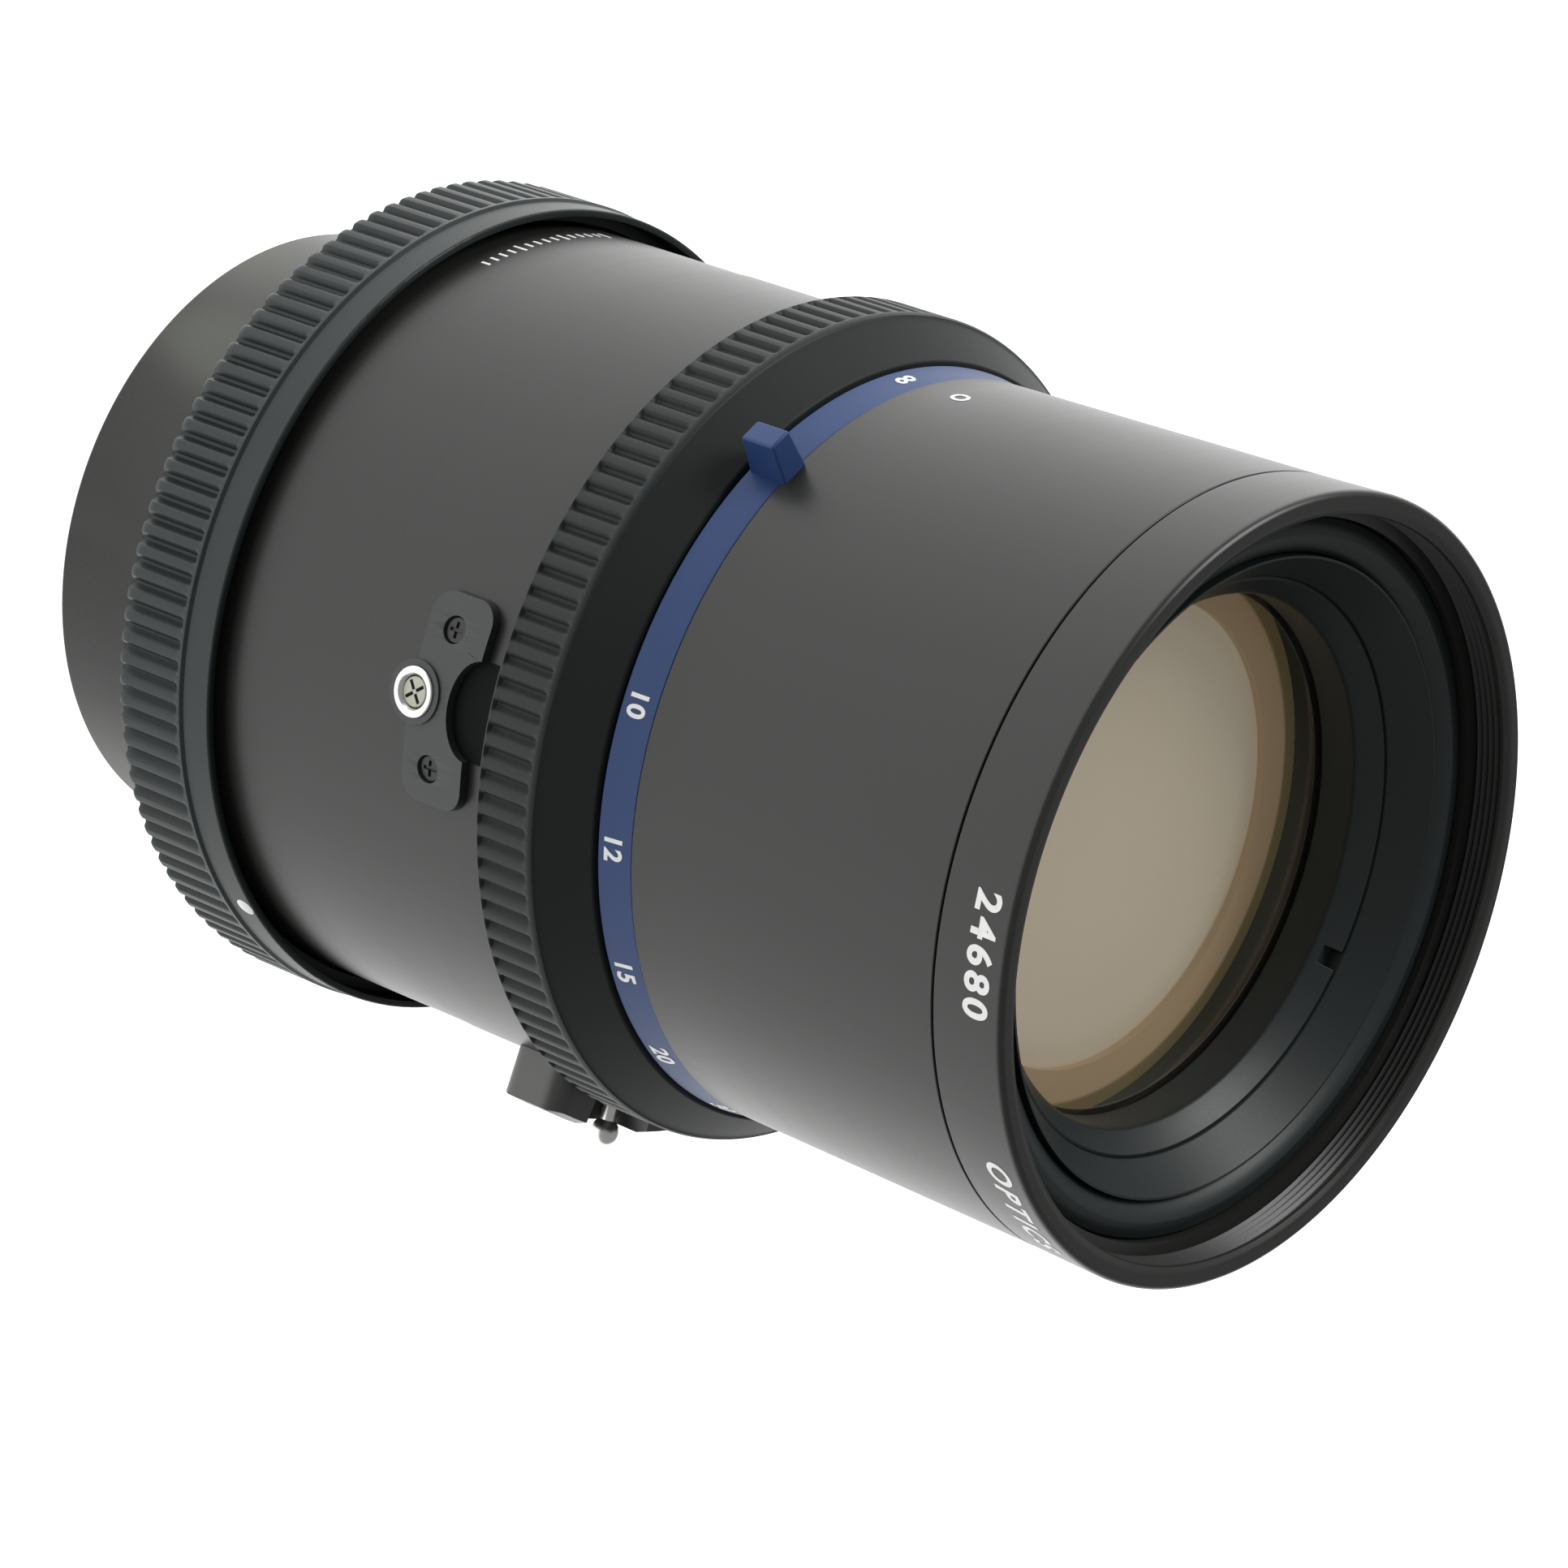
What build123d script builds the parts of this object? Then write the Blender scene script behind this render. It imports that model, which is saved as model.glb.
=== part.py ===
from build123d import *
import math
import os

os.makedirs("parts", exist_ok=True)

# Millimetres. The origin is the centre of the mount's flange plane, and +Z runs along the optical
# axis towards the front glass. Azimuths are in degrees about +Z, from +X.

# Outer profile, from the rear end to the front rim
rear_end_z = -20.6
rear_tube_r = 34.0
spigot_z1 = -6.0
flange_depth = 3.0
flange_r = 39.8
neck_r = 40.8
neck_top_z = 7.4
barrel_r = 42.4
seam_z = 32.3
grip_z0 = 52.2
grip_z1 = 59.9
cone_z1 = 64.8
dial_z0 = 65.1
dial_z1 = 69.1
front_z0 = 69.3
front_seam_z = 109.1
rim_z = 118.0
sleeve_r = 38.6
sleeve_bore_r = 36.4
front_barrel_r = 40.0
front_seam_r = 40.7
rim_r = 41.0
groove = 0.2

# Rings that turn
bayonet_z0 = 0.4
bayonet_z1 = 13.7
bayonet_rib_z1 = 9.8
bayonet_r = 44.9
bayonet_band_r = 44.6
bayonet_ribs = 120
dot_azimuth = -29.3
dot_z = 12.4
dot_r = 1.1
dot_floor_r = 44.0
bayonet_turn = 50.0
grip_r = 44.5
grip_ribs = 117
aperture_turn = 50.0
dial_r_rear = 40.3
dial_r_front = 39.7
running_gap = 0.1
tab_azimuth = -123.8
tab_width = 3.4
tab_length = 4.9
tab_z = 67.6
rib_depth = 0.9

# Leaf shutter and iris
blade_count = 5
open_r = 22.0
plate_r = 40.2
plate_thick = 1.5
pivot_r = 35.5
blade_inner_r = 22.3
blade_outer_r = 33.3
blade_span = 105.0
blade_thick = 0.3
blade_layer = 0.5
stud_r = 0.8
drive_angle = 9.0
cam_inner_r = 30.0
cam_outer_r = 38.2
cam_thick = 1.2
shutter_plate_z = 36.0
shutter_swing = 42.0
shutter_turn = 21.0
cover_z = 41.9
iris_cam_z = 43.4
iris_blade_z = 44.9
iris_plate_z = 47.5
iris_swing = 30.0
key_azimuth = 15.5
key_r = 35.4
tie_r = 39.3

# Optics
front_glass_r = 29.95
front_edge_z0 = 97.5
front_edge_z1 = 101.5
front_clear_r = 27.6
doublet_r = 28.0
rear_glass_r = 24.0
cell_r = 31.3

# Fittings on the barrel
socket_azimuth = -75.2
lever_azimuth = 5.0
lever_plate_length = 21.8
preview_azimuth = 146.0
fitting_z = 44.9
fitting_half_width = 4.1
fitting_length = 21.8
fitting_corner_r = 2.4
fitting_screw_pitch = 14.2
socket_z = 41.4
socket_r = 2.65
socket_top_r = 44.0
socket_bore_r = 1.7
socket_step_r = 42.4
plunger_r = 1.34
filter_r = 38.5
filter_floor_z = 113.8


def ring(outer, inner, z0, z1):
    """Flat-ended ring between two heights."""
    bottom = (Align.CENTER, Align.CENTER, Align.MIN)
    tube = Cylinder(outer, z1 - z0, align=bottom) - Cylinder(inner, z1 - z0, align=bottom)
    return Pos(0, 0, z0) * tube


def turned(*points):
    """Solid of revolution about Z from (radius, height) points."""
    profile = Plane.XZ * make_face(Polyline(*points, close=True))
    return revolve(profile, Axis.Z, 360)


def polar(radius, azimuth):
    """X and Y of a point at a radius and azimuth."""
    a = math.radians(azimuth)
    return radius * math.cos(a), radius * math.sin(a)


def stud(radius, azimuth, r, z0, z1):
    """Upright pin or hole at a radius and azimuth."""
    x, y = polar(radius, azimuth)
    return Pos(x, y, z0) * Cylinder(r, z1 - z0, align=(Align.CENTER, Align.CENTER, Align.MIN))


def sector(outer, inner, z0, z1, start, end):
    """Part of a ring between two azimuths, under half a turn."""
    reach = 2 * outer
    span = end - start
    corners = [(0, 0), polar(reach, start), polar(reach, start + span / 2), polar(reach, end)]
    wedge = Pos(0, 0, z0) * extrude(make_face(Polyline(*corners, close=True)), z1 - z0)
    return ring(outer, inner, z0, z1) & wedge


def arc_slot(radius, half_width, z0, z1, start, end):
    """Curved slot with round ends, as a cutter."""
    body = sector(radius + half_width, radius - half_width, z0, z1, start, end)
    return body + stud(radius, start, half_width, z0, z1) + stud(radius, end, half_width, z0, z1)


def around(azimuth, shape):
    """Turn a shape about the optical axis."""
    return Rot(0, 0, azimuth) * shape


def radial_plane(azimuth, z, radius=0.0):
    """Plane that faces outwards: local X runs round the barrel and local Y along it."""
    x, y = polar(radius, azimuth)
    nx, ny = polar(1, azimuth)
    return Plane(origin=(x, y, z), x_dir=(-ny, nx, 0), z_dir=(nx, ny, 0))


def radial_pin(azimuth, z, r, radius0, radius1, offset=0.0):
    """Round pin or hole that points outwards, between two radii."""
    disc = radial_plane(azimuth, z, radius0) * Pos(offset, 0) * Circle(r)
    return extrude(disc, radius1 - radius0)


def ribbed(count, tip_r, root_r, inner_r, z0, z1):
    """Ring with flat-topped ribs along its outside."""
    outline = []
    step = 360 / count
    for i in range(count):
        for share, radius in ((0.0, tip_r), (0.52, tip_r), (0.66, root_r), (0.86, root_r)):
            outline.append(polar(radius, (i + share) * step))
    body = Pos(0, 0, z0) * extrude(make_face(Polyline(*outline, close=True)), z1 - z0)
    return body - ring(inner_r, 0.01, z0, z1) - stud(0, 0, inner_r, z0, z1)


def lens_element(radius, z_rear, z_front, bulge_rear, bulge_front):
    """Round glass: the bulges are the heights of its two caps, negative where hollow."""
    def cap(z_edge, height):
        sphere = (radius * radius + height * height) / (2 * abs(height))
        drop = sphere - math.sqrt(sphere * sphere - radius * radius / 4)
        middle = z_edge + height - math.copysign(drop, height)
        return ThreePointArc((0, z_edge + height), (radius / 2, middle), (radius, z_edge))

    front = cap(z_front, bulge_front)
    rear = cap(z_rear, -bulge_rear)
    side = Line((radius, z_front), (radius, z_rear))
    axis = Line((0, z_rear - bulge_rear), (0, z_front + bulge_front))
    return revolve(Plane.XZ * make_face([front, side, rear, axis]), Axis.Z, 360)


def rear_barrel():
    tube = turned((31.5, rear_end_z), (33.6, rear_end_z), (rear_tube_r, rear_end_z + 0.4),
                  (rear_tube_r, spigot_z1), (rear_tube_r - 0.45, spigot_z1 + 0.2),
                  (rear_tube_r - 0.45, flange_depth), (36.5, flange_depth), (36.5, 5.0), (31.5, 5.0))
    for i in range(6):
        z = rear_end_z + 1.6 + i * 1.5
        tube -= turned((31.4, z - 0.5), (32.1, z), (31.4, z + 0.5))
    return tube


def rear_glass_parts():
    cell = turned((24.15, -8.0), (cell_r, -8.0), (cell_r, 28.0), (26.0, 30.0), (26.0, 35.9),
                  (22.2, 35.9), (22.2, 29.4), (24.15, 29.4))
    retainer = turned((24.1, -7.6), (24.1, -2.6), (22.6, -2.6), (22.6, -5.6), (23.4, -7.6))
    return {
        "rear_cell": cell,
        "rear_retaining_ring": retainer,
        "rear_element": lens_element(rear_glass_r, -2.4, 3.0, 1.6, -2.2),
        "rear_spacer": ring(24.0, 22.4, 3.1, 23.9),
        "rear_middle_element": lens_element(rear_glass_r, 24.0, 29.2, -2.0, 1.4),
    }


def mount_flange():
    plate = ring(flange_r, rear_tube_r + 0.1, 0, flange_depth)
    for middle in (0, 180):
        plate -= arc_slot(38.0, 1.3, -1, flange_depth + 1, middle - 27, middle + 27)
    for azimuth in flange_screw_azimuths:
        plate -= stud(38.0, azimuth, 0.9, -1, 4)
        plate -= stud(38.0, azimuth, 1.65, -1, 1.1)
    plate -= stud(38.0, -42, 1.3, -1, 4)
    return plate - sector(39.25, 36.05, -1, 4, 126.5, 147.5)


flange_screw_azimuths = (60, 90, 118, 242, 270, 298)


def flange_screws():
    screws = []
    for azimuth in flange_screw_azimuths:
        screw = stud(38.0, azimuth, 1.5, 0.1, 1.1) + stud(38.0, azimuth, 0.8, 1.1, 4.8)
        x, y = polar(38.0, azimuth)
        slot = Pos(x, y, 0.3) * Rot(0, 0, azimuth) * Box(4, 0.4, 0.6)
        screws.append(screw - slot)
    return Compound(children=screws)


def mount_fittings():
    pin = stud(38.0, -42, 1.2, -2.4, 2.9)
    block = sector(39.2, 36.1, -1.2, 2.9, 126.6, 147.4)
    contacts = []
    for i in range(6):
        azimuth = 129.0 + i * 3.2
        block -= stud(37.65, azimuth, 0.62, -2, 1.5)
        contacts.append(stud(37.65, azimuth, 0.6, -1.6, 1.4))
    return {"mount_pin": pin, "contact_block": block, "contact_pins": Compound(children=contacts)}


def cocking_ring():
    body = ring(39.1, 37.0, 5.4, 7.4)
    for azimuth in (-25, 155):
        body += stud(38.0, azimuth, 1.0, -4.5, 6.0)
    return body


def rear_housing():
    shell = turned((39.3, flange_depth), (neck_r, flange_depth), (neck_r, neck_top_z),
                   (barrel_r - 0.1, neck_top_z), (barrel_r - 0.1, seam_z - 0.25),
                   (barrel_r - 0.35, seam_z), (plate_r, seam_z), (plate_r, shutter_plate_z),
                   (38.4, shutter_plate_z), (38.4, 28.0), (39.3, 26.0))
    for azimuth in flange_screw_azimuths:
        boss = sector(39.6, 36.8, flange_depth, 5.1, azimuth - 3.2, azimuth + 3.2)
        shell += boss - stud(38.0, azimuth, 0.85, 2, 6)
    for azimuth in tie_azimuths:
        shell -= stud(tie_r, azimuth, 0.6, 32.5, 37)
    return shell


tie_azimuths = (-27, 45, 117, 189, 261)


def bayonet_ring():
    band_z0 = bayonet_rib_z1
    grip = ribbed(bayonet_ribs, bayonet_r, bayonet_r - rib_depth, 41.0, bayonet_z0, band_z0)
    envelope = turned((40, bayonet_z0), (44.2, bayonet_z0), (bayonet_r, bayonet_z0 + 0.9),
                      (bayonet_r, band_z0), (40, band_z0))
    band = turned((41.0, band_z0), (bayonet_r, band_z0), (bayonet_band_r, band_z0 + 0.5),
                  (bayonet_band_r, bayonet_z1 - 0.25), (bayonet_band_r - 0.25, bayonet_z1),
                  (43.75, bayonet_z1), (43.75, bayonet_z1 - 3.2), (41.0, bayonet_z1 - 3.2))
    ring_body = (grip & envelope) + band
    ring_body -= ring(42.65, 40.0, neck_top_z - 0.2, bayonet_z1)
    ring_body -= ring(42.4, 40.0, 0.0, 4.8)
    for azimuth in (20, 140, 260):
        ring_body += sector(42.6, 40.3, bayonet_z0, 2.2, azimuth - 17, azimuth + 17)
    ring_body -= ring(41.0, 30.0, 2.2, bayonet_z1)
    return ring_body - radial_pin(dot_azimuth, dot_z, dot_r, dot_floor_r, 46.0)


def bayonet_dot():
    dot = radial_pin(dot_azimuth, dot_z, dot_r, dot_floor_r, 46.0)
    return dot & ring(bayonet_band_r + 0.05, 40.0, bayonet_rib_z1, bayonet_z1)


def fitting_outline(azimuth, radius0, radius1, length=fitting_length):
    """Long rounded pad that wraps the barrel, between two radii."""
    face = RectangleRounded(length, 2 * fitting_half_width, fitting_corner_r)
    pad = extrude(radial_plane(azimuth, fitting_z, 36.0) * face, 16)
    return pad & ring(radius1, radius0, 30, 60)


def fitting_screw_holes(azimuth, r):
    cutters = []
    for side in (-1, 1):
        angle = azimuth + side * math.degrees(fitting_screw_pitch / 2 / barrel_r)
        cutters.append(radial_pin(angle, 44.4, r, 40.9, 47))
    return cutters


def fitting_screws(azimuth, top_radius):
    screws = []
    for side in (-1, 1):
        angle = azimuth + side * math.degrees(fitting_screw_pitch / 2 / barrel_r)
        head = radial_pin(angle, 44.4, 1.3, top_radius - 1.0, top_radius - 0.35)
        shank = radial_pin(angle, 44.4, 0.7, 41.0, top_radius - 1.0)
        cross = Rectangle(1.7, 0.35) + Rectangle(0.35, 1.7)
        cross = radial_plane(angle, 44.4, top_radius - 0.6) * cross
        screws.append(head + shank - extrude(cross, 1))
    return Compound(children=screws)


def plate_with_screw_seats(plate, azimuth, top_radius):
    for hole in fitting_screw_holes(azimuth, 0.8):
        plate -= hole
    for side in (-1, 1):
        angle = azimuth + side * math.degrees(fitting_screw_pitch / 2 / barrel_r)
        plate -= radial_pin(angle, 44.4, 1.45, top_radius - 1.0, top_radius + 1)
    return plate


def socket_parts():
    top = barrel_r + 1.1
    plate = fitting_outline(socket_azimuth, barrel_r + 0.02, top)
    boss = extrude(radial_plane(socket_azimuth, socket_z, 38.0) * Circle(3.35), 12)
    plate += boss & ring(top + 0.25, barrel_r + 0.02, 30, 60)
    notch = extrude(radial_plane(socket_azimuth, 49.2, 38.0) * Ellipse(5.2, 3.3), 12)
    plate = plate_with_screw_seats(plate - notch, socket_azimuth, top)
    plate -= radial_pin(socket_azimuth, socket_z, socket_r + 0.03, 38, 48)
    sleeve = radial_pin(socket_azimuth, socket_z, socket_r, 40.6, socket_top_r)
    bore = radial_pin(socket_azimuth, socket_z, socket_bore_r, socket_step_r, 46.0)
    bore += radial_pin(socket_azimuth, socket_z, plunger_r + 0.06, 40.0, socket_step_r)
    plunger = radial_pin(socket_azimuth, socket_z, plunger_r, 41.0, socket_step_r - 0.1)
    return {
        "socket_plate": plate,
        "release_socket": sleeve - bore,
        "release_plunger": plunger,
        "socket_plate_screws": fitting_screws(socket_azimuth, top),
    }


def time_lever_parts():
    top = barrel_r + 5.2
    plate = fitting_outline(lever_azimuth, barrel_r + 0.02, top, lever_plate_length)
    rounding = turned((top + 1, 38), (top - 1.2, 38), (top, 42.2), (top, 47.6), (top - 1.2, 51),
                      (top + 1, 51))
    plate = plate_with_screw_seats(plate - rounding, lever_azimuth, top)
    plate -= sector(50, 38, 43.2, 45.9, lever_azimuth - 6.2, lever_azimuth + 6.2)
    plate -= sector(50, barrel_r + 0.5, 45.0, 50, lever_azimuth - 6.2, lever_azimuth + 6.2)
    lever = radial_pin(lever_azimuth + 4, 44.9, 0.85, 41.0, 48.4)
    ball = radial_plane(lever_azimuth + 4, 44.9, 48.4) * Sphere(1.55)
    return {
        "lever_plate": plate,
        "time_lever": lever + ball,
        "lever_plate_screws": fitting_screws(lever_azimuth, top),
    }


def preview_parts():
    top = barrel_r + 1.35
    plate = fitting_outline(preview_azimuth, barrel_r + 0.02, top)
    plate -= sector(50, 38, 43.9, 45.9, preview_azimuth - 10.5, preview_azimuth + 10.5)
    stem = radial_pin(preview_azimuth - 5, 44.9, 0.9, 41.0, 44.6)
    paddle = ring(45.9, 44.05, 42.6, 47.2) & sector(47, 40, 40, 50, preview_azimuth - 10, preview_azimuth)
    for i in range(5):
        cutter = radial_plane(preview_azimuth - 8 + 1.5 * i, 44.9, 45.5) * Rectangle(0.45, 6)
        paddle -= extrude(cutter, 2)
    return {"preview_plate": plate, "preview_lever": stem + paddle}


def shutter_housing():
    shell = turned((plate_r + 0.1, seam_z + 0.02), (barrel_r - 0.25, seam_z + 0.02),
                   (barrel_r, seam_z + 0.27), (barrel_r, grip_z0 - 0.4), (barrel_r - 0.2, grip_z0 - 0.2),
                   (sleeve_r, grip_z0 - 0.2), (sleeve_r, 75.0), (sleeve_bore_r, 75.0),
                   (sleeve_bore_r, 50.2), (plate_r + 0.1, 50.2))
    shell -= sector(39.5, 35.0, 56.6, 59.4, key_azimuth - 2.2, key_azimuth + aperture_turn + 2.2)
    for i in range(9):
        x, y = polar(sleeve_r + 0.25, 200 + i * aperture_turn / 8)
        shell -= Pos(x, y, 61.6) * Cylinder(0.45, 1.8)
    shell -= radial_pin(socket_azimuth, socket_z, socket_r + 0.03, 38, 48)
    for azimuth in (socket_azimuth, lever_azimuth):
        for hole in fitting_screw_holes(azimuth, 0.75):
            shell -= hole
    shell -= sector(50, 38, 43.9, 45.9, lever_azimuth - 6.2, lever_azimuth + 6.2)
    return shell - sector(50, 38, 43.9, 45.9, preview_azimuth - 10.5, preview_azimuth + 10.5)


def blade_point(radius, azimuth, swing):
    """Where a point of a blade goes when the blade swings about its pivot."""
    x, y = polar(radius, azimuth)
    a = math.radians(swing)
    dx = x - pivot_r
    return pivot_r + dx * math.cos(a) - y * math.sin(a), dx * math.sin(a) + y * math.cos(a)


def blade(layer_z, cam_face, plate_face):
    """One crescent blade with its pivot stud and its cam stud."""
    band = sector(blade_outer_r, blade_inner_r, layer_z, layer_z + blade_thick, -4, blade_span)
    lobe = sector(37.2, blade_outer_r - 1, layer_z, layer_z + blade_thick, -3, drive_angle + 3)
    pivot = stud(pivot_r, 0, stud_r, min(layer_z, plate_face), max(layer_z, plate_face))
    drive = stud(pivot_r, drive_angle, stud_r, min(layer_z, cam_face), max(layer_z, cam_face))
    return band + lobe + pivot + drive


def cam_ring(z0, turn, swing, inner_r):
    """Ring whose curved slots swing the blades as it turns."""
    body = ring(cam_outer_r, inner_r, z0, z0 + cam_thick)
    centres = []
    steps = 12
    for i in range(steps + 1):
        share = i / steps
        x, y = blade_point(pivot_r, drive_angle, swing * share)
        a = math.radians(-turn * share)
        centres.append((x * math.cos(a) - y * math.sin(a), x * math.sin(a) + y * math.cos(a)))
    width = 2 * (stud_r + 0.12)
    slot = trace(Spline(*centres), width)
    slot = slot + Pos(*centres[0]) * Circle(width / 2) + Pos(*centres[-1]) * Circle(width / 2)
    cutter = Pos(0, 0, z0 - 1) * extrude(slot, cam_thick + 2)
    for i in range(blade_count):
        body -= around(i * 360 / blade_count, cutter)
    return body


def blade_plate(z0, pivots):
    """Plate with the open aperture, pivot holes and tie-screw holes."""
    plate = ring(plate_r, open_r, z0, z0 + plate_thick)
    for i in range(blade_count):
        if pivots:
            plate -= stud(pivot_r, i * 360 / blade_count, stud_r + 0.05, z0 - 1, z0 + 3)
    for azimuth in tie_azimuths:
        plate -= stud(tie_r, azimuth, 0.6, z0 - 1, z0 + 3)
    return plate


def shutter_parts():
    nodes = {
        "shutter_base_plate": blade_plate(shutter_plate_z, True),
        "shutter_drive_ring": cam_ring(40.3, shutter_turn, shutter_swing, cam_inner_r),
        "shutter_cover_plate": blade_plate(cover_z, False),
    }
    nodes["shutter_cover_plate"] &= ring(50, 1, cover_z, cover_z + 1.2)
    for i in range(blade_count):
        z = shutter_plate_z + plate_thick + 0.2 + i * blade_layer
        leaf = blade(z, 41.4, shutter_plate_z + 0.2)
        nodes[f"shutter_blade_{i + 1}"] = around(i * 360 / blade_count, leaf)
    return nodes


def iris_parts():
    front_plate = blade_plate(iris_plate_z, True)
    front_plate -= arc_slot(key_r, 1.0, 46, 50, key_azimuth - 0.6, key_azimuth + aperture_turn + 0.6)
    key = stud(key_r, key_azimuth, 0.8, iris_cam_z + cam_thick, 58.8)
    arm = radial_pin(key_azimuth, 58.0, 0.8, key_r, 40.6)
    nodes = {
        "iris_base_plate": front_plate,
        "iris_drive_ring": cam_ring(iris_cam_z, aperture_turn, iris_swing, cam_inner_r),
        "aperture_key": key + arm,
    }
    for i in range(blade_count):
        z = iris_blade_z + i * blade_layer
        leaf = blade(z, iris_cam_z + 0.1, iris_plate_z + plate_thick - 0.2)
        nodes[f"iris_blade_{i + 1}"] = around(i * 360 / blade_count, leaf)
    return nodes


def tie_parts():
    screws = []
    spacers = []
    for azimuth in tie_azimuths:
        head = stud(tie_r, azimuth, 0.95, 49.05, 49.9)
        screws.append(head + stud(tie_r, azimuth, 0.55, 33.0, 49.1))
        for z0, z1 in ((37.5, cover_z), (43.1, iris_plate_z)):
            spacers.append(stud(tie_r, azimuth, 0.9, z0, z1) - stud(tie_r, azimuth, 0.6, z0, z1))
    return {"tie_screws": Compound(children=screws), "plate_spacers": Compound(children=spacers)}


def aperture_ring():
    bore = sleeve_r + running_gap
    grip = ribbed(grip_ribs, grip_r, grip_r - rib_depth, bore, grip_z0, grip_z1)
    envelope = turned((bore, grip_z0), (43.9, grip_z0), (grip_r, grip_z0 + 0.7), (grip_r, grip_z1 - 0.5),
                      (grip_r - 0.4, grip_z1), (bore, grip_z1))
    cone = turned((bore, grip_z1), (44.0, grip_z1), (44.0, grip_z1 + 0.25), (40.7, cone_z1),
                  (bore, cone_z1))
    body = (grip & envelope) + cone
    body -= radial_pin(key_azimuth, 58.0, 0.85, 38.0, 41.0)
    return body - radial_pin(200, 61.6, 0.97, 38.0, 41.6)


def click_parts():
    ball = radial_plane(200, 61.6, sleeve_r + 0.97) * Sphere(0.9)
    coil = Helix(pitch=0.6, height=0.9, radius=0.62)
    section = Plane(origin=coil @ 0, z_dir=coil % 0) * Circle(0.24)
    spring = radial_plane(200, 61.6, sleeve_r + 1.97) * sweep(section, path=coil)
    return {"click_ball": ball, "click_spring": spring}


def distance_ring():
    bore = sleeve_r + running_gap + 0.05
    body = turned((bore, dial_z0), (dial_r_rear - 0.2, dial_z0), (dial_r_rear, dial_z0 + 0.2),
                  (dial_r_front, dial_z1), (39.4, dial_z1), (39.4, dial_z1 - 0.6), (bore, dial_z1 - 0.6))
    tab = extrude(radial_plane(tab_azimuth, tab_z, 39.6) * Rectangle(tab_width, tab_length), 5.0, taper=4)
    tab -= ring(39.6, 30.0, 60, 75)
    edges = tab.edges().filter_by(lambda e: e.center().X ** 2 + e.center().Y ** 2 > 43.6 ** 2)
    tab = chamfer(edges, 0.35)
    clearance = turned((39, dial_z1), (front_barrel_r + 0.3, dial_z1), (front_barrel_r + 0.4, 75), (39, 75))
    return body + (tab - clearance)


def front_barrel():
    taper = (front_seam_r - front_barrel_r) / (front_seam_z - front_z0)
    return turned((sleeve_r + 0.05, front_z0), (front_barrel_r - 0.2, front_z0),
                  (front_barrel_r, front_z0 + 0.2), (front_seam_r - 0.2 * taper, front_seam_z - 0.2),
                  (front_seam_r - 0.2, front_seam_z),
                  (37.8, front_seam_z), (37.8, 76.0), (sleeve_r + 0.05, 75.2))


def front_ring():
    z0 = front_seam_z + groove
    return turned((36.6, 103.0), (37.7, 103.0), (37.7, z0), (front_seam_r - 0.2, z0),
                  (front_seam_r, z0 + 0.2), (rim_r, rim_z - 0.5), (rim_r - 0.4, rim_z),
                  (filter_r + 0.5, rim_z), (filter_r, rim_z - 0.5), (filter_r, filter_floor_z),
                  (37.35, filter_floor_z), (37.35, z0 + 0.2), (36.6, z0 + 0.2))


def front_glass_parts():
    cell = turned((30.05, 94.0), (30.05, 109.2), (32.9, 113.0), (33.15, 113.0), (33.15, front_seam_z + 0.3),
                  (36.5, front_seam_z + 0.3), (36.5, 104.0), (32.5, 100.0), (30.2, 75.0), (25.2, 75.0),
                  (25.2, 84.8), (28.1, 84.8), (28.1, 94.0))
    trim = turned((33.25, front_seam_z + 0.4), (37.25, front_seam_z + 0.4), (37.25, 113.4), (37.0, 113.65),
                  (33.6, 113.2), (33.25, 112.9))
    retainer = turned((30.0, 101.6), (30.0, 109.0), (29.7, 109.1), (27.9, 107.1), (front_clear_r, 106.6),
                      (front_clear_r, 102.8), (28.3, 102.0))
    for azimuth in (83, -97):
        retainer -= sector(30.4, 28.4, 107.6, 110, azimuth - 2, azimuth + 2)
    return {
        "front_cell": cell,
        "trim_ring": trim,
        "front_retaining_ring": retainer,
        "front_element": lens_element(front_glass_r, front_edge_z0, front_edge_z1, -1.2, 3.8),
        "front_spacer": turned((24.6, 96.75), (28.1, 96.15), (28.5, 94.05), (29.95, 94.05), (29.95, 97.4),
                               (27.0, 97.4), (24.6, 97.6)),
        "second_element": lens_element(doublet_r, 92.5, 96.0, 2.6, 2.2),
        "third_element": lens_element(doublet_r, 85.0, 92.45, -2.6, -2.6),
    }


nodes = {
    "rear_barrel": rear_barrel(),
    "mount_flange": mount_flange(),
    "flange_screws": flange_screws(),
    "cocking_ring": cocking_ring(),
    "rear_housing": rear_housing(),
    "bayonet_ring": bayonet_ring(),
    "bayonet_dot": bayonet_dot(),
    "shutter_housing": shutter_housing(),
    "aperture_ring": aperture_ring(),
    "distance_ring": distance_ring(),
    "friction_washer": ring(39.3, 38.7, dial_z1 - 0.5, dial_z1 - 0.1),
    "front_barrel": front_barrel(),
    "front_ring": front_ring(),
}
groups = (rear_glass_parts, mount_fittings, socket_parts, time_lever_parts, preview_parts,
          shutter_parts, iris_parts, tie_parts, click_parts, front_glass_parts)
for group in groups:
    nodes.update(group())

for name, shape in nodes.items():
    export_step(shape, f"parts/{name}.step")
print(len(nodes), "nodes")
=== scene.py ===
import math

import bmesh
import bpy
from mathutils import Matrix, Vector


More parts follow.
